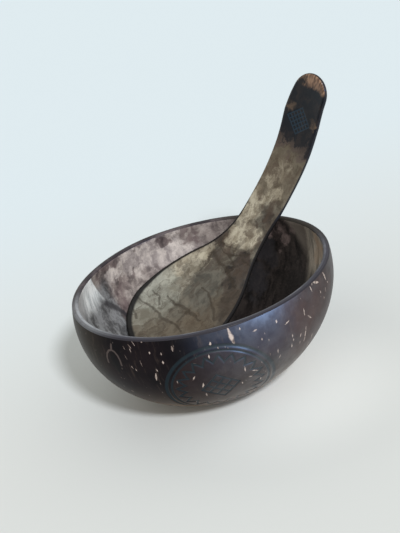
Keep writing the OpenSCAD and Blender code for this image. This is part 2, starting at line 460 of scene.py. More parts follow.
# Pale fibre ends: direction round the bowl in degrees, then height of the middle, length and
# width in millimetres, and slant in degrees
fleck_places = [
    (-84, 53.7, 8.6, 2.4, 12), (-47.5, 36, 9, 1.0, 4), (-30, 55, 4.4, 1.5, 20),
    (-38.5, 57, 5.5, 1.6, 60), (-41, 58.2, 2.4, 1.1, -20), (-42.5, 56, 3, 0.8, 15),
    (-31, 49, 2.2, 0.7, 10), (-28, 51, 1.6, 0.7, 30), (-33, 46, 1.4, 0.7, 0),
    (-49, 48.5, 4, 0.7, 5), (-45.5, 44, 4, 1.0, 45), (-59, 48.8, 2.7, 0.9, -70),
    (-74, 52.6, 2, 1.0, -80), (-64, 52, 1.6, 1.0, 0), (-80, 56, 1.5, 0.8, 0),
    (-56, 34.8, 2.4, 0.8, 15), (-56.3, 40.6, 2.2, 0.8, 10), (-64, 36.5, 2.7, 0.6, 10),
    (-62.5, 32.5, 2, 0.7, -15), (-68, 37, 1.6, 0.5, 5), (-71.5, 47, 1.2, 0.7, 0),
    (-68.5, 45, 1.1, 0.5, 0), (-92.6, 53, 2, 1.2, 0), (-90, 50.6, 1.5, 0.7, 15),
    (-87, 50.3, 1.4, 0.8, 5), (-108, 54, 2.3, 1.4, 3), (-118, 52.7, 1.2, 0.8, 0),
    (-125, 57, 2.6, 0.5, 35), (-127, 55.5, 2.4, 0.5, 35), (-130, 54.5, 1.8, 0.5, 30),
    (-116.5, 43.5, 1.6, 0.6, 20), (-126.5, 43.5, 1.8, 0.6, 25), (-130, 50, 2.4, 0.4, 25),
    (-113, 52, 1.2, 0.9, 0), (-113, 47.7, 1.5, 1.0, 0), (-118, 39.7, 4.4, 1.2, -12),
    (-123, 47, 3.2, 0.5, 6), (-121, 58, 1.1, 1.0, 20), (-127.5, 56, 1, 0.6, 30),
    (-36, 50.7, 1.8, 0.5, 10), (-94, 47.2, 1.7, 0.8, 0), (-100.5, 45.2, 1.8, 0.7, 85),
    (-102, 37, 2.8, 0.9, -30), (-99, 31.6, 3.4, 1.0, -15), (-109.5, 35.8, 1.5, 0.7, 0),
    (-99, 24, 3, 0.8, 0), (-105.5, 18.3, 3.2, 1.0, 20), (-80, 34.5, 3.5, 0.7, 5),
    (-75, 31, 3.6, 0.9, 60), (-77.5, 28.3, 1.9, 1.0, 70), (-71.5, 23.5, 2.2, 0.8, 10),
    (-72, 34.6, 1.7, 0.8, 5), (-81.3, 25.8, 1.6, 0.7, 10), (-51, 37.5, 2.2, 0.8, -10),
    (-40, 30.3, 4.3, 0.7, 15), (-40.5, 26, 3.7, 0.7, 15), (-55.5, 37.7, 1.6, 0.9, 0),
    (-50.5, 33.3, 1.7, 0.7, 5), (-127, 53.7, 2.7, 0.4, 15), (-128, 44.6, 1.7, 0.6, 15),
    (-137.5, 27, 1.5, 0.9, 35),
]


def on_shell(degrees, millimetres, sideways):
    """Point of the outer wall at a direction and a height, moved sideways along the wall."""
    height = (millimetres * MILLIMETRE - shell_middle[2]) / shell_half_height
    rise = math.asin(max(-1, min(1, height)))
    turn = math.radians(degrees) + sideways * MILLIMETRE / (shell_radius * math.cos(rise))
    point = level_sections(shell_radius, shell_half_height, turn, rise)[0]
    outward = (point - shell_middle) * [1, 1, (shell_radius / shell_half_height) ** 2]
    return point + outward / np.linalg.norm(outward) * unevenness(turn, point[2])


tear_width = 0.6 * MILLIMETRE
tear = scaled(place_group(drift, place, 1500.0, 2.0, 0.5), tear_width)
torn_place = vectors("ADD", tear, place)
fleck_width_share = 0.6
fleck_ends = 0.3
middle_height = 51.0
wall_reach = 54.0
fleck_masks = []
for degrees, height, length, width, slant in fleck_places:
    run = math.sin(math.radians(slant)) * length / 2
    drop = math.cos(math.radians(slant)) * length / 2
    steepness = math.sqrt(max(0.1, 1 - ((height - middle_height) / wall_reach) ** 2))
    upper_end = on_shell(degrees, height + drop * steepness, -run)
    lower_end = on_shell(degrees, height - drop * steepness, run)
    reach = width * fleck_width_share * MILLIMETRE
    fleck_masks.append(place_group(dash, torn_place, upper_end, lower_end, reach, fleck_ends))
# A closed eye of the nut: an arch with a short stem over a dark oval


def eye_mark(points, width, ends):
    """Masks of dashes from point to point, each so far up and sideways from the eye's middle."""
    eye_turn = -137.5
    eye_height = 45.5
    on_wall = [on_shell(eye_turn, eye_height + up, sideways) for up, sideways in points]
    return [place_group(dash, place, *pair, width, ends) for pair in zip(on_wall, on_wall[1:])]


arch_angles = np.linspace(1.06 * math.pi, -0.06 * math.pi, 9)
arch = np.stack([6.2 * np.sin(arch_angles) + 0.6, 4.4 * np.cos(arch_angles)], axis=-1)
arch_masks = eye_mark(arch, 0.7 * MILLIMETRE, 1.0)
arch_masks += eye_mark([(9.6, 0.4), (6.8, 0)], 0.9 * MILLIMETRE, 0.8)
eye_oval = eye_mark([(3, 0), (-4, 0.6)], 4.4 * MILLIMETRE, 0.5)[0]
# Short flecks strewn over the side that faces away, and finer ones all round
scatter_place = place_group(drawn, place, 0.35)
scatter = add_node(tree, "TexVoronoi", scatter_place, None, 240.0).outputs["Distance"]
front = soft_step(y, -0.014, -0.022)
scattered = times(soft_step(scatter, 0.1, 0.06), maths("SUBTRACT", 1.0, front))
flecks = maths("MAXIMUM", strongest(fleck_masks), scattered)
faint = add_node(tree, "TexVoronoi", scatter_place, None, 420.0).outputs["Distance"]
flecks = maths("MAXIMUM", flecks, times(soft_step(faint, 0.09, 0.05), 0.4))
fleck_tone = soft_step(noise(place, 500.0, 3), 0.3, 0.62)
fleck_colour = mixed(fleck_tone, (94, 81, 75), (190, 174, 165))
body = laid(body, eye_oval, 0.7, (14, 16, 18))
body = laid(body, strongest(arch_masks), 0.45, (112, 100, 96))
# The engraved pattern again, for its colour and its fine edges
from_ring = scaled(vectors("SUBTRACT", place, ring_middle), 1 / MILLIMETRE)
ring_x = vectors("DOT_PRODUCT", from_ring, ring_right)
ring_y = vectors("DOT_PRODUCT", from_ring, ring_up)
ring_radius = maths("SQRT", sloped(ring_x, ring_x, times(ring_y, ring_y)))
turns = times(maths("ARCTAN2", ring_y, ring_x), zigzag_teeth / math.tau)
zigzag_height = 2 * (zigzag_radii[1] - zigzag_radii[0])
tooth = sloped(maths("PINGPONG", turns, 0.5), zigzag_height, zigzag_radii[0])
groove_masks = [place_group(lattice, ring_x, ring_y, *lattice_shape, groove_core)]
for line_radius, half_width, slant in (*ring_lines, (tooth, zigzag_half_width, zigzag_slant)):
    off_line = maths("ABSOLUTE", maths("SUBTRACT", ring_radius, line_radius))
    outer, inner = half_width * groove_fringe, half_width * groove_core
    groove_masks.append(soft_step(times(off_line, slant), outer, inner))
on_front = soft_step(y, -0.015, -0.02)
grooves = times(strongest(groove_masks), on_front)
field = times(soft_step(ring_radius, 22.6, 22.0), on_front)
body = laid(body, field, 0.5, (46, 34, 34))
body = mixed(flecks, body, fleck_colour)
body = laid(body, grooves, 0.9, (27, 38, 44))
# The lacquer shines at the right of the front, weaker near the rim and in worn places
lacquer_place = sloped(clouds, 0.02, x)
lacquer_end = soft_step(lacquer_place, 0.07, 0.03)
lacquer = times(soft_step(lacquer_place, -0.014, 0.034), sloped(lacquer_end, 0.6, 0.25))
rubbed = noise(place, 150.0, 4, 0.6)
upper = sloped(soft_step(sloped(rubbed, 0.016, z), 0.058, 0.066), 0.3, 0.7)
uneven = sloped(soft_step(rubbed, 0.34, 0.66), 0.5, 0.75)
lacquer = times(lacquer, upper, uneven)
relief = sloped(streaks, 0.12, sloped(grooves, -0.6, times(clouds, 1.5)))
outside_values = {
    "Base Color": body,
    "Roughness": sloped(grooves, 0.12, sloped(clouds, 0.16, 0.28)),
    "Specular IOR Level": 0.03,
    "Coat Weight": sloped(lacquer, 1.1, 0.04),
    "Coat IOR": 1.8,
    "Coat Roughness": 0.45,
}
fill_shader(tree, outside_values, relief, 0.5, 0.2 * MILLIMETRE)
bowl.data.materials.append(outside)

# The bowl's cut edge: sanded through the shell and lacquered, with the dark outside as a line
across_wall = np.zeros(len(bowl.data.vertices))
cap_start = (len(foot_rows) + wall_rows) * len(around)
cap_values = np.broadcast_to(cap_shares[..., 0], (cap_rows, len(around))).ravel()
across_wall[cap_start : cap_start + len(cap_values)] = cap_values
across_wall[cap_start + len(cap_values) :] = 1


def store(mesh, name, values):
    """Keeps one value for each point of a mesh under a name."""
    mesh.attributes.new(name, "FLOAT", "POINT").data.foreach_set("value", values)


store(bowl.data, "across_wall", across_wall)
edge, tree, place = new_material("sanded_cut_edge")
x, y, z = add_node(tree, "SeparateXYZ", place).outputs
across = add_node(tree, "Attribute", attribute_name="across_wall").outputs["Fac"]
grain = noise(place, 500.0, 3, 0.6)
patches = noise(place, 70.0, 4, 0.6)
near_edge = toned(patches, 0.4, 0.65, (82, 84, 92), (110, 112, 121))
far_edge = toned(patches, 0.4, 0.62, (56, 52, 56), (92, 84, 86))
left_share = soft_step(x, -0.035, -0.055)
near_edge = mixed(left_share, near_edge, (156, 160, 165))
outer_half = soft_step(sloped(grain, 0.16, across), 0.7, 0.52)
outer_tone = mixed(left_share, (64, 64, 72), (112, 114, 118))
near_edge = mixed(outer_half, near_edge, outer_tone)
dark_share = soft_step(x, 0.01, 0.035)
far_edge = mixed(dark_share, far_edge, (48, 45, 41))
far_share = soft_step(y, -0.012, 0.02)
edge_colour = mixed(far_share, near_edge, far_edge)
edge_colour = laid(edge_colour, soft_step(grain, 0.5, 0.7), 0.3, (58, 50, 48))
line_edge = sloped(far_share, -0.35, across)
outer_line = soft_step(sloped(grain, 0.1, line_edge), 0.3, 0.12)
outer_line = times(outer_line, sloped(left_share, -0.7, 1.0))
line_tone = mixed(far_share, (50, 48, 53), (34, 30, 32))
edge_colour = mixed(outer_line, edge_colour, line_tone)
edge_values = {
    "Base Color": edge_colour,
    "Roughness": sloped(grain, 0.15, 0.25),
    "Specular IOR Level": 0.08,
}
fill_shader(tree, edge_values, grain, 0.25, 0.05 * MILLIMETRE)
bowl.data.materials.append(edge)

# The bowl's inside: scraped and polished, mottled grey, mauve-brown and dark brown, with painted
# sunlight at the left and painted shade at the right


def patch_mask(place, middle, reach, strength):
    """Strength at the middle, eased to 0 a little past the reach."""
    share = maths("DIVIDE", vectors("DISTANCE", place, middle), reach)
    return times(soft_step(share, 1.2, 0.6), strength)


patch = new_group(
    "patch",
    {"Place": "Vector", "Middle": "Vector", "Reach": "Float", "Strength": "Float"},
    {"Mask": "Float"},
    patch_mask,
)


def specks_mask(place, scale):
    """Fine specks, faint even at their middles."""
    return times(soft_step(noise(place, scale, 3, 0.6), 0.56, 0.7), 0.3)


specks = new_group("specks", {"Place": "Vector", "Scale": "Float"}, {"Mask": "Float"}, specks_mask)


def flat_point(first, second, *others):
    """Point of a flattened surface from its two coordinates in millimetres."""
    return (first * MILLIMETRE, second * MILLIMETRE, 0)


def patched(wood, place, rows, colour):
    """Wood with patches of a colour, each with two flat coordinates, a reach and a strength."""
    masks = []
    for *middle, reach, strength in rows:
        reach = reach * MILLIMETRE
        masks.append(place_group(patch, place, flat_point(*middle), reach, strength))
    return mixed(strongest(masks), wood, colour)


def round_wall(rows):
    """Rows whose first value is a direction in degrees, as arc lengths along the inner wall."""
    degree = math.radians(1) * inner_radius / MILLIMETRE
    return [((turn - 90) * degree, height, *rest) for turn, height, *rest in rows]


inside, tree, place = new_material("polished_shell_inside")
x, y, z = add_node(tree, "SeparateXYZ", place).outputs
from_middle_x = maths("SUBTRACT", x, 3 * MILLIMETRE)
wall_turn = maths("ARCTAN2", times(from_middle_x, -1.0), y)
degrees_round = sloped(wall_turn, 180 / math.pi, 90.0)
wall_length = times(wall_turn, inner_radius)
flat_wall = add_node(tree, "CombineXYZ", wall_length, z, 0.0).outputs[0]
cloudy_way = place_group(drift, place, 180.0, 5.0, 0.6)
bent_wall = vectors("MULTIPLY_ADD", cloudy_way, (0.016, 0.02, 0), flat_wall)
drawn_half = place_group(drawn, place, 0.5)
bent_place = vectors("MULTIPLY_ADD", cloudy_way, (0.008, 0.008, 0.008), drawn_half)
large = noise(bent_place, 60.0, 5, 0.62)
small = noise(bent_place, 220.0, 6, 0.6)
streaks = noise(place_group(drawn, place, 0.2), 330.0, 4, 0.6)
wood = toned(small, 0.34, 0.64, (108, 99, 97), (170, 160, 154))
wood = laid(wood, soft_step(large, 0.48, 0.62), 0.7, (108, 92, 92))
pale_rows = [
    (97, 40, 7, 0.7), (88, 46, 6, 0.4), (121, 52, 9, 0.75), (113, 51, 10, 0.75), (108, 50, 8, 0.8),
    (104, 47, 8, 0.8), (134, 51, 5, 0.85), (126, 55, 5, 0.7), (99, 51, 6, 1), (94, 46, 6, 0.9),
    (109, 56, 5, 0.7), (80, 56, 3, 0.3),
]
pale_wood = toned(small, 0.32, 0.64, (152, 143, 142), (215, 205, 199))
wood = patched(wood, bent_wall, round_wall(pale_rows), pale_wood)
mauve_rows = [
    (131, 58, 5, 0.85), (134, 59, 5, 0.8), (115, 60, 4, 0.7), (104, 56, 4, 0.8), (139, 57, 5, 0.9),
    (124, 43, 3, 0.6), (131, 42, 5, 0.6), (143, 50, 4, 0.85), (146, 56, 4, 0.8),
    (142, 41, 5, 0.85), (141, 33, 4, 0.8), (135, 30, 5, 0.6), (76, 56, 6, 0.3), (92, 58, 4, 0.7),
    (112, 40, 5, 0.4),
]
mauve_wood = toned(small, 0.36, 0.64, (62, 52, 54), (106, 91, 91))
wood = patched(wood, bent_wall, round_wall(mauve_rows), mauve_wood)
# A near-white stretch at the left, a painted patch of sunlight, that ends in a straight line down
# the wall, over a dark line that is painted shadow
shadow_line_ends = [flat_point(*point) for point in round_wall([(149, 45), (135, 27)])]
bent_degrees = maths("ADD", degrees_round, sloped(small, 6.0, -3.0))
leaning_degrees = maths("ADD", sloped(z, -420.0, 17.9), degrees_round)
leaning_degrees = sloped(small, 2.0, leaning_degrees)
painted_sunlit_patch = times(soft_step(leaning_degrees, 145.8, 146.6), soft_step(bent_degrees, 222.0, 190.0))
pale_height = sloped(large, 0.02, z)
painted_sunlit_patch = times(painted_sunlit_patch, soft_step(pale_height, 0.049, 0.06))
painted_light_streaks = toned(streaks, 0.38, 0.6, (206, 211, 213), (252, 255, 255))
pinkish = soft_step(bent_degrees, 159.0, 170.0)
painted_light_streaks = laid(painted_light_streaks, pinkish, 0.7, (160, 158, 159))
low_left = times(soft_step(bent_degrees, 136.0, 142.0), soft_step(pale_height, 0.064, 0.056))
low_wood = toned(small, 0.38, 0.6, (69, 69, 71), (129, 130, 132))
wood = mixed(low_left, wood, low_wood)
# Painted shadow: a dark line down the wall at the edge of the sunlit stretch
shadow_line_wall = vectors("MULTIPLY_ADD", cloudy_way, (0.005, 0.005, 0), flat_wall)
painted_shadow_line = place_group(dash, shadow_line_wall, *shadow_line_ends, 0.0023, 0.8)
wood = laid(wood, painted_shadow_line, 0.85, (50, 49, 53))
# Painted light: the sunlit stretch at the left laid over the wood
wood = laid(wood, painted_sunlit_patch, 0.95, painted_light_streaks)
# The right side is dark brown, partly the wood's own tone and partly painted shade, with an
# olive-brown stretch that also ends in a straight line
wider_low = sloped(z, 1400.0, -72.8)
dark_degrees = maths("ADD", bent_degrees, maths("MINIMUM", wider_low, 0.0))
dark_and_shaded_side = times(soft_step(dark_degrees, 71.0, 61.0), soft_step(bent_degrees, -78.0, -50.0))
dark_and_shaded_wood = toned(small, 0.36, 0.64, (19, 17, 16), (50, 44, 41))
red_rows = [(48, 54, 8, 0.9), (41, 49, 6, 0.7), (34, 57, 5, 0.6), (56, 57, 5, 0.7)]
red_wood = toned(small, 0.36, 0.62, (52, 45, 43), (124, 108, 104))
dark_and_shaded_wood = patched(dark_and_shaded_wood, bent_wall, round_wall(red_rows), red_wood)
grey_rows = [(52, 42, 7, 0.8), (56, 27, 8, 0.7), (46, 36, 4, 0.5)]
dark_and_shaded_wood = patched(dark_and_shaded_wood, bent_wall, round_wall(grey_rows), (48, 46, 48))
# Painted shade: the right side darkened to near black low down, towards the front
painted_shade_low = times(soft_step(bent_degrees, 50.0, 30.0), soft_step(z, 0.038, 0.028))
dark_and_shaded_wood = mixed(painted_shade_low, dark_and_shaded_wood, (22, 19, 18))
fringe_degrees = maths("ADD", sloped(z, -700.0, 31.5), bent_degrees)
fringe = times(soft_step(fringe_degrees, 29.0, 23.0), soft_step(z, 0.036, 0.05))
dark_and_shaded_wood = laid(dark_and_shaded_wood, fringe, 0.8, (112, 104, 96))
olive = times(soft_step(bent_degrees, 23.0, 18.0), soft_step(z, 0.026, 0.044))
olive_wood = toned(streaks, 0.38, 0.62, (128, 122, 114), (192, 182, 168))
orange_rows = [(8, 53, 6, 0.7), (12, 46, 4, 0.5)]
olive_wood = patched(olive_wood, bent_wall, round_wall(orange_rows), (176, 152, 130))
dark_and_shaded_wood = mixed(olive, dark_and_shaded_wood, olive_wood)
wood = mixed(dark_and_shaded_side, wood, dark_and_shaded_wood)
# Round the bottom the streaks would run together in a star, so it is plainly mottled
bottom_share = soft_step(sloped(small, 0.008, z), 0.024, 0.014)
mottles = noise(place, 160.0, 5, 0.6)
mottle_tone = soft_step(mottles, 0.36, 0.64)
bottom_wood = mixed(mottle_tone, (62, 56, 53), (112, 104, 99))
dark_bottom = mixed(mottle_tone, (21, 18, 17), (46, 40, 38))
right_share = soft_step(sloped(mottles, 0.016, x), 0.0, 0.026)
bottom_wood = mixed(right_share, bottom_wood, dark_bottom)
wood = mixed(bottom_share, wood, bottom_wood)
wood = mixed(place_group(specks, place, 700.0), wood, (70, 60, 58))
inside_values = {
    "Base Color": wood,
    "Roughness": sloped(small, 0.2, 0.28),
    "Coat Weight": 0.15,
    "Coat Roughness": 0.2,
}
fill_shader(tree, inside_values, maths("ADD", small, large), 0.3, 0.1 * MILLIMETRE)
bowl.data.materials.append(inside)
bowl.data.polygons.foreach_set("material_index", surface_kinds)
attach(bowl, "bowl")
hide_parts("bowl_shell")

# The spoon: scoop, neck and handle sawn in one piece from another shell, so it is bent both
# ways. Its hollow face is sanded down to the pale inner shell, and its back stays dark.
spoon_length = 173.0
spoon_thickness = 2.8
scoop_radius = 25.8
scoop_side_radius = 77.0
neck_curve_radius = 60.0
neck_half_width = 10.4
taper_length = 112.0
handle_end_radius = 11.4
cross_radius = 63.0
bend_radius = 129.0
turning_length = 68.0
edge_rounding = 1.5
motif_length = 146.0
motif_across = 1.0
motif_shape = (2.0, 5, 0.36)  # as lattice_shape
motif_depth = 0.25
motif_core = 0.5
motif_reach = 6.0
outline_step = 0.05
steepest_outline = 5.0
blend_start = 95.0
blend_length = 25.0
bulge = 1.4
bulge_middle = 151.0
bulge_reach = 15.0
tip_shift = 0.9
tip_shift_start = 158.0
tip_slimming = 0.12
tip_slimming_start = 148.0
tip_change = 14.0
spoon_turns = np.radians([31.2, -36, 14.5])  # about X, then Y, then Z
spoon_place = np.array([21.73, 40.24, 44.64])
side_sum = scoop_side_radius + neck_curve_radius
side_drop = scoop_radius - neck_half_width
side_run = math.sqrt(side_sum**2 - (side_sum - side_drop) ** 2)
neck_start = scoop_radius + side_run
scoop_cut_share = 0.33
scoop_cut_length = scoop_radius + scoop_cut_share * side_run
scoop_cut_flat = bend_radius * math.sin(scoop_cut_length / bend_radius)
handle_cut_length = (spoon_length + taper_length) / 2


def flat_length(length):
    """Distance from the scoop's end as the saw sees it, square to the middle of the scoop."""
    return scoop_cut_flat + bend_radius * np.sin((length - scoop_cut_length) / bend_radius)


def handle_flat_length(length):
    """Length along the handle as the saw sees it, square to the middle of the handle."""
    return handle_cut_length + bend_radius * np.sin((length - handle_cut_length) / bend_radius)


tip_middle = handle_flat_length(spoon_length) - handle_end_radius


def arc_height(radius, off_middle):
    """Height of a circle's arc over its middle, 0 beyond its ends."""
    return np.sqrt(np.clip(radius**2 - off_middle**2, 0, None))


def half_width(length):
    """Half width: round scoop end, two side arcs, neck arcs, a slow taper and a round end."""
    flat = flat_length(length)
    end = arc_height(scoop_radius, flat - scoop_radius)
    side = scoop_radius - scoop_side_radius + arc_height(scoop_side_radius, flat - scoop_radius)
    neck = neck_half_width + neck_curve_radius - arc_height(neck_curve_radius, neck_start - flat)
    side_end = scoop_radius + side_run * scoop_side_radius / side_sum
    along = handle_flat_length(length)
    share = np.clip((along - taper_length) / (tip_middle - taper_length), 0, 1)
    handle = neck_half_width + (handle_end_radius - neck_half_width) * share
    tip = arc_height(handle_end_radius, along - tip_middle)
    width = np.where(flat < scoop_radius, end, np.where(flat < side_end, side, neck))
    width = np.where(flat > neck_start, handle, width)
    return np.where(along > tip_middle, tip, width)


def edge_distance(length, across):
    """Distance from the outline, exact at the round ends and square to the sides elsewhere."""
    slope = half_width(length + outline_step) - half_width(length - outline_step)
    slope = np.clip(slope / (2 * outline_step), -steepest_outline, steepest_outline)
    distance = (half_width(length) - np.abs(across)) / np.sqrt(1 + slope**2)
    flat = flat_length(length)
    along = handle_flat_length(length)
    end = scoop_radius - np.hypot(flat - scoop_radius, across)
    tip = handle_end_radius - np.hypot(along - tip_middle, across)
    distance = np.where(flat < scoop_radius, end, distance)
    return np.clip(np.where(along > tip_middle, tip, distance), 0, None)


def sway(length):
    """Sideways wander of the handle's outline, as a saw leaves it, and a slimmer tip."""
    wander = bulge * np.exp(-(((length - bulge_middle) / bulge_reach) ** 2))
    wander = wander - tip_shift * np.clip((length - tip_shift_start) / tip_change, 0, 1)
    slimming = tip_slimming * np.clip((length - tip_slimming_start) / tip_change, 0, 1)
    return wander, 1 - slimming


def turn_round(length, cut_length, reach):
    """Angle round the bend where a saw, square to the band at a cut length, meets a radius."""
    to_cut = bend_radius * np.sin((length - cut_length) / bend_radius)
    return (cut_length - turning_length) / bend_radius + np.arcsin(to_cut / reach)


def spoon_point(length, across, lift):
    """Point on the spoon: an arched band bent round, lifted off its middle surface.

    The band's radius falls towards its sides as the arch does. The turn round the bend goes
    over from the scoop's to the handle's along the neck.
    """
    middle_radius = cross_radius + spoon_thickness / 2
    wander, slimming = sway(length)
    across = across * slimming + wander
    arch = np.sqrt((middle_radius + lift) ** 2 - (across * (1 + lift / middle_radius)) ** 2)
    reach = bend_radius - cross_radius + arch
    blend = np.clip((length - blend_start) / blend_length, 0, 1)
    blend = blend * blend * (3 - 2 * blend)
    turn = turn_round(length, scoop_cut_length, reach) * (1 - blend)
    turn = turn + turn_round(length, handle_cut_length, reach) * blend
    sideways = across * (1 + lift / middle_radius)
    local = [reach * np.sin(turn), sideways, bend_radius - reach * np.cos(turn)]
    local = np.stack(np.broadcast_arrays(*local), axis=-1)
    rotation = Matrix.Identity(3)
    for angle, axis in zip(spoon_turns, "XYZ"):
        rotation = Matrix.Rotation(angle, 3, axis) @ rotation
    return (local @ np.array(rotation).T + spoon_place) * MILLIMETRE


scoop_end_rows = 44
handle_end_rows = 26
row_step = 0.8
motif_row_step = 0.25
end_turns = np.linspace(0, math.pi / 2, scoop_end_rows, endpoint=False)[1:]
end_flat = scoop_radius * (1 - np.cos(end_turns)) - scoop_cut_flat
end_lengths = scoop_cut_length + bend_radius * np.arcsin(end_flat / bend_radius)
tip_turns = np.linspace(math.pi / 2, 0, handle_end_rows, endpoint=False)[1:]
tip_flat = tip_middle + handle_end_radius * np.cos(tip_turns) - handle_cut_length
tip_lengths = handle_cut_length + bend_radius * np.arcsin(tip_flat / bend_radius)
motif_start, motif_end = motif_length - motif_reach, motif_length + motif_reach
middle_rows = [
    np.arange(end_lengths[-1] + 0.9, motif_start, row_step),
    np.arange(motif_start, motif_end, motif_row_step),
    np.arange(motif_end, tip_lengths[0] - row_step / 2, row_step),
]
lengths = np.concatenate([end_lengths, *middle_rows, tip_lengths])
across_steps = 84
shares = np.sin(np.linspace(-math.pi / 2, math.pi / 2, across_steps + 1))
loop_shares = np.concatenate([shares, shares[-2:0:-1]])
loop_sides = np.concatenate([-np.ones(across_steps + 1), np.ones(across_steps - 1)])
length_grid = lengths[:, None]
across_grid = half_width(length_grid) * loop_shares
inset = np.clip(edge_distance(length_grid, across_grid) / edge_rounding, 0, 1)
half_thickness = spoon_thickness / 2 * np.sqrt(1 - (1 - inset) ** 2)
cut = lattice_cut(length_grid - motif_length, across_grid - motif_across, *motif_shape)
half_thickness = half_thickness - cut * (loop_sides < 0) * motif_depth
spoon_rings = spoon_point(length_grid, across_grid, loop_sides * half_thickness)
spoon = closed_skin(
    "coconut_spoon", spoon_rings, spoon_point(0.0, 0.0, 0.0), spoon_point(spoon_length, 0.0, 0.0)
)
mesh = spoon.data
corner_points = np.empty(len(mesh.loops), int)
mesh.loops.foreach_get("vertex_index", corner_points)
flat_places = np.stack(np.broadcast_arrays(length_grid, across_grid), axis=-1).reshape(-1, 2)
flat_places = np.concatenate([flat_places, [[0, 0], [spoon_length, 0]]])
layout = mesh.uv_layers.new(name="along_and_across")
layout.data.foreach_set("uv", (flat_places[corner_points] * MILLIMETRE).ravel())
edge_distances = np.append(edge_distance(length_grid, across_grid).ravel(), [0, 0])
store(mesh, "edge_distance", edge_distances * MILLIMETRE)
back_sides = np.append(np.broadcast_to(loop_sides, across_grid.shape).ravel(), [0, 0])
store(mesh, "back", back_sides)

spoon_shell, tree, place = new_material("sanded_spoon_shell")
flat_place = add_node(tree, "UVMap", uv_map="along_and_across").outputs[0]
along, sideways = add_node(tree, "SeparateXYZ", flat_place).outputs[:2]
from_edge = add_node(tree, "Attribute", attribute_name="edge_distance").outputs["Fac"]
backness = add_node(tree, "Attribute", attribute_name="back").outputs["Fac"]
cloudy_way = place_group(drift, place, 190.0, 5.0, 0.58)
drawn_out = vectors("MULTIPLY", flat_place, (0.6, 1, 1))
bent_place = vectors("MULTIPLY_ADD", cloudy_way, (0.006, 0.006, 0), drawn_out)
bent_flat = vectors("MULTIPLY_ADD", cloudy_way, (0.014, 0.012, 0), flat_place)
bent_vein = vectors("MULTIPLY_ADD", cloudy_way, (0.004, 0.004, 0), flat_place)
large = noise(bent_place, 75.0, 5, 0.6)
small = noise(bent_place, 250.0, 6, 0.6)
wood = toned(small, 0.34, 0.66, (70, 66, 58), (108, 103, 92))
wood = laid(wood, soft_step(large, 0.5, 0.66), 0.35, (98, 86, 71))
# Patches: places along the spoon and across it from its middle, with a reach and a strength
cream_rows = [
    (57, 18, 8, 0.85), (59, 13, 6, 0.9), (44, 21, 7, 0.8), (40, 14, 7, 0.5), (79, 3, 9, 0.9),
    (82, -4, 6, 0.9), (90, 6, 7, 0.9), (66, 16, 5, 0.6), (51, 13, 5, 0.7), (81, 0, 5, 0.6),
    (99, 6, 7, 0.85), (106, -1, 6, 0.7), (113, 5, 5, 0.6), (119, 0, 6, 0.5),
]
cream = toned(small, 0.32, 0.62, (130, 120, 102), (178, 170, 151))
wood = patched(wood, bent_flat, cream_rows, cream)
white_rows = [
    (28, 22, 8, 0.7), (28, 12, 6, 0.6), (38, 19, 7, 0.7), (35, 25, 5, 0.7), (34, 12, 6, 0.5),
    (14, 17, 8, 0.6), (20, 12, 7, 0.45),
]
white_wood = toned(small, 0.34, 0.64, (124, 124, 113), (156, 157, 146))
wood = patched(wood, bent_flat, white_rows, white_wood)
grey_rows = [
    (46, 2, 10, 0.7), (42, -9, 10, 0.8), (42, 10, 6, 0.4), (50, 12, 6, 0.3), (56, -2, 8, 0.6),
]
grey_wood = toned(small, 0.34, 0.66, (68, 66, 60), (94, 91, 83))
wood = patched(wood, bent_flat, grey_rows, grey_wood)
# Painted shade: darker brown patches down the scoop's right side and near its end
painted_shade_rows = [
    (14, 8, 9, 0.4), (30, -14, 11, 0.6), (12, 14, 6, 0.35), (20, -8, 11, 0.45), (46, -17, 10, 0.6),
]
wood = patched(wood, bent_flat, painted_shade_rows, (88, 76, 61))
# Painted sheen: grey patches along the scoop's right edge
painted_sheen_rows = [(67, -12, 5, 0.3), (61, -17, 4, 0.4), (53, -22, 3, 0.5), (84, -9, 3, 0.3)]
wood = patched(wood, bent_flat, painted_sheen_rows, (78, 76, 79))
# Dark brown spots on the neck and handle, and on the scoop's right side darker patches that are
# painted shade
dark_spot_and_shade_rows = [
    (70, 13.5, 3.5, 0.9), (70, 9, 3, 0.85), (74, 12, 3, 0.6), (70, 3, 3, 0.6), (71, -3, 4, 0.6),
    (70, -7, 4.5, 0.9), (64, -13, 4, 0.6), (66, -5, 4, 0.8), (61, -4, 2.5, 0.9), (57, -9, 5, 0.8),
    (53, -13, 5, 0.7), (48, -17, 6, 0.65), (62, -11, 6, 0.75), (56, -17, 8, 0.7),
    (66, -12, 6, 0.6), (43, -21, 6, 0.6), (36, -24, 5, 0.5), (94, -5.5, 4, 0.8),
    (103, -7, 2.5, 0.75), (87, -7, 3, 0.5), (97, -1, 3, 0.35), (64, 7, 4, 0.7), (58, 7, 3.5, 0.6),
    (52, 8, 3, 0.4), (89, 0, 3, 0.6), (106, 5, 3, 0.4), (112, 0, 2.5, 0.4), (118, 7, 3, 0.5),
    (124, 4, 4, 0.4), (130, 9, 4, 0.7), (123, -2, 3, 0.3),
]
dark_spot_and_shade_tone = toned(small, 0.34, 0.64, (28, 22, 20), (56, 46, 41))
wood = patched(wood, bent_flat, dark_spot_and_shade_rows, dark_spot_and_shade_tone)
wood = mixed(place_group(specks, place, 800.0), wood, (92, 78, 66))
mottles = noise(vectors("ADD", bent_place, (0.3, 0.1, 0)), 150.0, 6, 0.68)
wood = laid(wood, soft_step(along, 0.095, 0.11), 0.3, (122, 108, 86))
mottle_share = times(
    soft_step(mottles, 0.47, 0.62), sloped(soft_step(along, 0.05, 0.075), 0.5, 0.12)
)
wood = mixed(mottle_share, wood, (72, 58, 48))
marbling = maths("SUBTRACT", noise(bent_place, 110.0, 5, 0.55), 0.5)
marbling = soft_step(maths("ABSOLUTE", marbling), 0.026, 0.0)
wood = laid(wood, marbling, 0.45, (60, 48, 38))
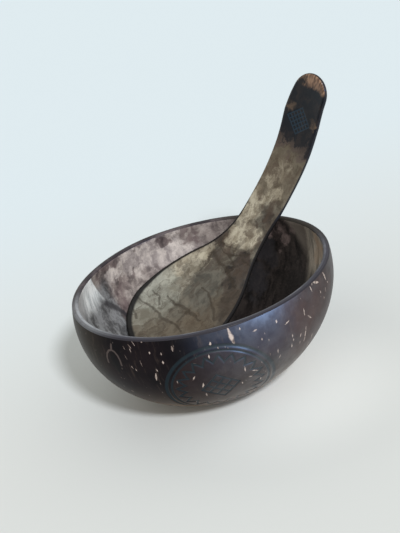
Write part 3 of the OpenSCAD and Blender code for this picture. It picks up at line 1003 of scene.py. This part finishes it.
# Veins: points along the spoon and across it, each with the width from there to the next
vein_lines = [
    [(31.7, 12.1, 0.8), (30.4, 7.3, 1.1), (31.9, 2.6, 1.3), (32.7, -1.4, 1.2), (32.4, -5.8, 1.0),
     (32.4, -11.1)],
    [(32.7, -1.4, 1.1), (29.2, -1.4, 1.0), (25.2, -1.9)],
    [(21.8, 12.6, 1.1), (21, 7.3, 1.3), (21.5, 1.9, 1.2), (23, -3.1, 0.9), (21.8, -8.1)],
    [(46.5, 1.9, 0.7), (45.8, -3.4, 1.0), (42.8, -9.1, 1.1), (39.6, -14.6, 0.9), (37.1, -18)],
    [(28.5, 19.8, 0.8), (28.7, 15.8, 0.9), (25.5, 12.6)],
    [(20.3, 24.5, 0.8), (21.5, 17.8, 0.9), (21.5, 12.8)],
    [(17, 24, 0.7), (12, 15)],
    [(64.3, 10.6, 1.2), (61.4, 2.6, 1.4), (60.6, -4.1, 1.3), (56.4, -13.1)],
    [(64.3, 10.6, 0.9), (57.9, 8.8, 0.7), (52.5, 9.1)],
    [(67.6, 14.8, 0.7), (70.8, 7.8, 0.8), (71, 3.6)],
    [(68.3, 11.3, 0.7), (67.3, 3.6, 0.8), (70.8, -5.3, 0.8), (74, -8.6)],
    [(74, 10.3, 0.6), (68.8, 11.6)],
    [(67.3, 1.9, 0.7), (65.8, -3.6, 0.8), (61.1, -5.1)],
    [(69.3, -6.8, 0.7), (69.3, -13.3)],
]
vein_masks = []
for line in vein_lines:
    for start, end in zip(line, line[1:]):
        ends = (flat_point(*start), flat_point(*end))
        vein_masks.append(place_group(dash, bent_vein, *ends, start[2] * MILLIMETRE, 1.0))
wood = laid(wood, strongest(vein_masks), 0.6, (48, 40, 31))
ragged = sloped(small, 0.034, along)
handle_dark = soft_step(ragged, 0.149, 0.153)
handle_brown = soft_step(ragged, 0.143, 0.148)
brown_wood = toned(small, 0.36, 0.64, (52, 42, 40), (86, 73, 66))
wood = laid(wood, handle_brown, 0.85, brown_wood)
handle_wood = toned(small, 0.42, 0.7, (10, 14, 22), (34, 29, 30))
tan_rows = [(151.5, 8, 3.5, 0.6), (148, -8, 2.5, 0.7)]
tan_wood = toned(small, 0.36, 0.62, (44, 36, 31), (110, 90, 72))
handle_wood = patched(handle_wood, bent_flat, tan_rows, tan_wood)
tip_red = soft_step(sloped(small, 0.008, along), 0.1685, 0.1715)
tip_streaks = noise(vectors("MULTIPLY", flat_place, (0.5, 2, 1)), 420.0, 3)
tip_wood = toned(tip_streaks, 0.36, 0.64, (84, 62, 50), (142, 113, 92))
tip_rows = [(166, 8, 3, 1), (168, 5, 2, 0.6)]
handle_wood = mixed(tip_red, handle_wood, tip_wood)
handle_wood = patched(handle_wood, bent_flat, tip_rows, (30, 26, 26))
wood = mixed(handle_dark, wood, handle_wood)
# The engraved lattice on the handle
motif_x = sloped(along, 1 / MILLIMETRE, -motif_length)
motif_y = sloped(sideways, 1 / MILLIMETRE, -motif_across)
motif = place_group(lattice, motif_x, motif_y, *motif_shape, motif_core)
face_share = soft_step(backness, 0.3, -0.1)
wood = laid(wood, times(motif, face_share), 0.85, (26, 46, 60))
dark_back = toned(small, 0.4, 0.65, (30, 23, 22), (52, 40, 36))
back_share = soft_step(backness, -0.1, 0.3)
on_handle = soft_step(along, 0.085, 0.1)
pale_rim = times(soft_step(from_edge, 0.0006, 0.0003), on_handle)
back_share = times(back_share, maths("SUBTRACT", 1.0, pale_rim))
wood = mixed(back_share, wood, dark_back)
# The dark edge line is the shell's dark edge; along the scoop's left side and at its lower left it
# is widened as painted shadow in the gap against the bowl's wall
shadow_gap_corner = times(soft_step(along, 0.045, 0.015), soft_step(sideways, -0.004, 0.01))
scoop_line = soft_step(along, 0.104, 0.092)
line_width = sloped(scoop_line, 0.0006, 0.0002)
line_width = sloped(shadow_gap_corner, 0.0016, line_width)
shadow_gap_side = times(soft_step(sideways, 0.004, 0.01), soft_step(along, 0.1, 0.08))
line_width = sloped(shadow_gap_side, 0.0006, line_width)
line_share = maths("DIVIDE", from_edge, line_width)
edge_and_shadow_line = times(soft_step(line_share, 1.15, 0.75), 0.95)
# The line is near black on the scoop and lighter and a little bluer on the handle, a painted sheen
# on the handle's rounded edge
edge_and_sheen_tone = toned(along, 0.07, 0.12, (14, 13, 15), (27, 26, 31))
wood = mixed(edge_and_shadow_line, wood, edge_and_sheen_tone)
dull_edge = times(edge_and_shadow_line, soft_step(along, 0.12, 0.07))
spoon_values = {
    "Base Color": wood,
    "Roughness": sloped(edge_and_shadow_line, 0.3, 0.42),
    "Specular IOR Level": 0.2,
    "Coat Weight": sloped(dull_edge, -0.15, 0.15),
    "Coat Roughness": 0.2,
}
fill_shader(tree, spoon_values, maths("ADD", small, large), 0.35, 0.2 * MILLIMETRE)
spoon.data.materials.append(spoon_shell)
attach(spoon, "spoon")
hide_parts("spoon")

# The floor: plain and pale, a little cooler far off, and lighter round the bowl's foot in a
# painted pool of light
floor_half_size = 4.0
floor_mesh = bpy.data.meshes.new("floor")
floor_corners = np.array([(-1, -1, 0), (1, -1, 0), (1, 1, 0), (-1, 1, 0)]) * floor_half_size
floor_mesh.from_pydata(floor_corners.tolist(), [], [(0, 1, 2, 3)])
floor = bpy.data.objects.new("floor", floor_mesh)
bpy.context.collection.objects.link(floor)
floor_material, tree, place = new_material("pale_floor")
far_off = soft_step(add_node(tree, "SeparateXYZ", place).outputs["Y"], -0.05, 0.35)
floor_colour = mixed(far_off, (214, 217, 216), (215, 226, 232))
# Painted light: a lighter pool on the floor round the bowl's foot
from_painted_light_pool = vectors("DISTANCE", place, (0.03, -0.025, 0))
painted_light_pool = soft_step(from_painted_light_pool, 0.075, 0.01)
floor_colour = mixed(painted_light_pool, floor_colour, (240, 243, 241))
fill_shader(tree, {"Base Color": floor_colour, "Roughness": 0.9, "Specular IOR Level": 0.0})
floor.data.materials.append(floor_material)

# The light: an even pale sky, a soft sun from the front right, and a low cool lamp for the sheen
sky_colour = paint(250, 249, 243)
sky_strength = 0.66
scene = bpy.context.scene
world = bpy.data.worlds.new("studio")
world.use_nodes = True
background = world.node_tree.nodes["Background"]
background.inputs["Color"].default_value = sky_colour
background.inputs["Strength"].default_value = sky_strength
scene.world = world


def add_lamp(name, kind, place, power, colour):
    """Lamp of a kind at a place, turned to face the middle of the bowl."""
    data = bpy.data.lights.new(name, kind)
    data.energy = power
    data.color = colour
    lamp = bpy.data.objects.new(name, data)
    lamp.location = place
    aim = Vector((0, 0, rim_height / 2)) - Vector(place)
    lamp.rotation_mode = "QUATERNION"
    lamp.rotation_quaternion = aim.to_track_quat("-Z", "Y")
    bpy.context.collection.objects.link(lamp)
    return lamp


key_place = (0.74, -2.28, 1.84)
key_strength = 2.5
key_softness = 0.13
key = add_lamp("key", "SUN", key_place, key_strength, (0.965, 0.985, 1.015))
key.data.angle = key_softness
low_cool_place = (1.03, -1.1, 0.08)
low_cool_watts = 24.0
low_cool = add_lamp("low_cool", "AREA", low_cool_place, low_cool_watts, (0.32, 0.54, 1.0))
low_cool.data.shape = "RECTANGLE"
low_cool.data.size = 0.5
low_cool.data.size_y = 0.13
low_cool.visible_diffuse = False  # it only adds shine

# The camera: above and in front of the bowl, rolled, aimed by the rim's middle in the picture
picture_width = 400
picture_height = 533
focal_length = 1316.5
camera_distance = 0.625
camera_elevation = math.radians(24.3)
camera_roll = math.radians(14.93)
rim_middle_column = 198.92
rim_middle_row = 271.68
rim_middle = Vector((3.645 * MILLIMETRE, 0, rim_height))
look = Vector((0, math.cos(camera_elevation), -math.sin(camera_elevation)))
straight = look.to_track_quat("-Z", "Y").to_matrix()
rolled = straight @ Matrix.Rotation(-camera_roll, 3, "Z")
ray_right = (rim_middle_column - picture_width / 2) / focal_length
ray_up = (picture_height / 2 - rim_middle_row) / focal_length
rim_ray = Vector((ray_right, ray_up, -1))
turned = rolled @ rim_ray.rotation_difference(Vector((0, 0, -1))).to_matrix()
camera_data = bpy.data.cameras.new("camera")
camera_data.sensor_width = 36
camera_data.lens = camera_data.sensor_width * focal_length / picture_height
camera = bpy.data.objects.new("camera", camera_data)
camera.location = rim_middle - look * camera_distance
camera.rotation_mode = "QUATERNION"
camera.rotation_quaternion = turned.to_quaternion()
bpy.context.collection.objects.link(camera)
scene.camera = camera
scene.view_settings.view_transform = "Standard"
